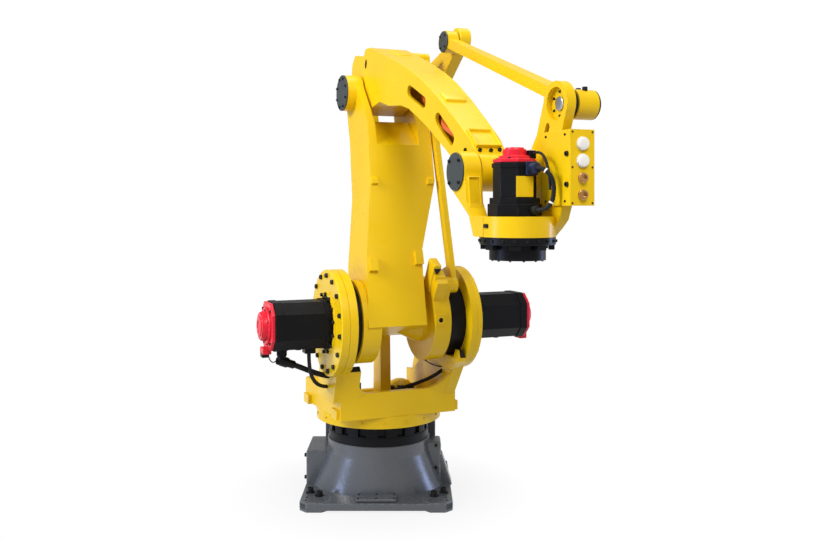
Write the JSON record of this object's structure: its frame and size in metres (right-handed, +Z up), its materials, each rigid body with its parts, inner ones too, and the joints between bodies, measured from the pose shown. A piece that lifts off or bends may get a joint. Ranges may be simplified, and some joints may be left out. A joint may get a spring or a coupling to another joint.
{
  "type": "palletizing robot arm",
  "caption": "Floor-mounted palletizing robot arm: turning base, leaning lower arm, drooping boom, parallel links that keep the wrist level, and a round tool flange facing down.",
  "frame": {"origin": "centre of the foot's underside, on the upright turning axis", "axes": "+Z up along the turning axis, -Y toward the base's front, +X to the right seen from the front"},
  "size_m": [1.412, 2.0636, 2.382],
  "materials": {
    "yellow_paint": "gloss enamel",
    "grey_paint": "satin",
    "black_paint": "satin",
    "red_cover": "gloss",
    "slate_cap": "satin",
    "steel": "ground",
    "black_rubber": "matte",
    "orange_hose": "satin",
    "white_plastic": "satin",
    "brass": "plain"
  },
  "bodies": {
    "base": {"base_casting": "grey_paint", "base_ring": "black_paint", "base_cover": "grey_paint", "rear_plate": "grey_paint"},
    "turret": {"turret_casting": "yellow_paint", "slew_gear_cover": "yellow_paint", "j2_flange": "yellow_paint", "j3_flange": "yellow_paint", "j2_reducer": "black_paint", "j3_reducer": "black_paint", "j2_motor": "black_paint", "j2_motor_cap": "red_cover", "j3_motor": "black_paint", "j3_motor_cap": "red_cover", "j2_stop": "black_rubber", "j3_stop": "black_rubber", "turret_cable": "black_rubber", "j2_conduit": "black_rubber"},
    "lower_arm": {"j2_arm_casting": "yellow_paint", "elbow_shaft": "steel", "elbow_cap": "slate_cap"},
    "boom": {"boom_casting": "yellow_paint", "boom_hose": "orange_hose"},
    "crank": {"j3_crank": "yellow_paint"},
    "drive_rod": {"j3_rod": "yellow_paint"},
    "level_link": {"lower_link": "yellow_paint"},
    "level_rocker": {"rocker": "yellow_paint"},
    "link_axle": {"rocker_pin": "steel"},
    "top_link": {"upper_link": "yellow_paint", "link_cap": "slate_cap", "link_seal": "black_rubber", "link_end_cap": "black_rubber"},
    "wrist_axle": {"wrist_pin": "steel"},
    "wrist": {"wrist_casting": "yellow_paint", "wrist_cap": "slate_cap", "j4_motor": "black_paint", "j4_motor_cap": "red_cover", "j4_reducer": "black_paint", "connector_box": "yellow_paint", "connector_caps": "white_plastic", "air_fittings": "brass", "j4_cable": "black_rubber"},
    "tool": {"tool_flange": "black_paint"}
  },
  "joints": [
    {"name": "j1_turn", "type": "hinge", "parent": "base", "child": "turret", "pos_m": [0, 0, 0.3915], "axis": [0, 0, 1], "range_deg": [-202, 158]},
    {"name": "j2_swing", "type": "hinge", "parent": "turret", "child": "lower_arm", "pos_m": [0.12474, -0.30875, 0.931], "axis": [0.9272, 0.3746, 0], "range_deg": [-10, 60]},
    {"name": "j3_boom", "type": "hinge", "parent": "lower_arm", "child": "boom", "pos_m": [-0.00165, 0.00409, 2.07008], "axis": [0.9272, 0.3746, 0], "range_deg": [-26, 16]},
    {"name": "j3_crank_turn", "type": "hinge", "parent": "lower_arm", "child": "crank", "pos_m": [0.12474, -0.30875, 0.931], "axis": [0.9272, 0.3746, 0], "range_deg": [-26, 16]},
    {"name": "j3_rod_foot", "type": "hinge", "parent": "crank", "child": "drive_rod", "pos_m": [0.18606, -0.46051, 1.10652], "axis": [0.9272, 0.3746, 0], "range_deg": [-16, 26]},
    {"name": "level_link_foot", "type": "hinge", "parent": "turret", "child": "level_link", "pos_m": [0.00112, -0.00278, 0.991], "axis": [0.9272, 0.3746, 0], "range_deg": [-10, 60]},
    {"name": "level_rocker_turn", "type": "hinge", "parent": "lower_arm", "child": "level_rocker", "pos_m": [-0.00165, 0.00409, 2.07008], "axis": [0.9272, 0.3746, 0], "range_deg": [-60, 10]},
    {"name": "link_axle_turn", "type": "hinge", "parent": "level_rocker", "child": "link_axle", "pos_m": [0.12422, -0.30745, 2.30808], "axis": [0.9272, 0.3746, 0], "range_deg": [-10, 60]},
    {"name": "top_link_turn", "type": "hinge", "parent": "link_axle", "child": "top_link", "pos_m": [0.12422, -0.30745, 2.30808], "axis": [0.9272, 0.3746, 0], "range_deg": [-26, 16]},
    {"name": "wrist_axle_turn", "type": "hinge", "parent": "boom", "child": "wrist_axle", "pos_m": [0.47577, -1.17756, 1.61877], "axis": [0.9272, 0.3746, 0], "range_deg": [-16, 26]},
    {"name": "wrist_level", "type": "hinge", "parent": "wrist_axle", "child": "wrist", "pos_m": [0.47577, -1.17756, 1.61877], "axis": [0.9272, 0.3746, 0], "range_deg": [-60, 10]},
    {"name": "j4_tool_turn", "type": "hinge", "parent": "wrist", "child": "tool", "pos_m": [0.56193, -1.39081, 1.28927], "axis": [0, 0, 1], "range_deg": [-360, 360]}
  ],
  "couplings": [
    {"joint": "j3_crank_turn", "follows": "j3_boom", "ratio": 1},
    {"joint": "j3_rod_foot", "follows": "j3_boom", "ratio": -1},
    {"joint": "level_link_foot", "follows": "j2_swing", "ratio": 1},
    {"joint": "level_rocker_turn", "follows": "j2_swing", "ratio": -1},
    {"joint": "link_axle_turn", "follows": "j2_swing", "ratio": 1},
    {"joint": "top_link_turn", "follows": "j3_boom", "ratio": 1},
    {"joint": "wrist_axle_turn", "follows": "j3_boom", "ratio": -1},
    {"joint": "wrist_level", "follows": "j2_swing", "ratio": -1}
  ]
}
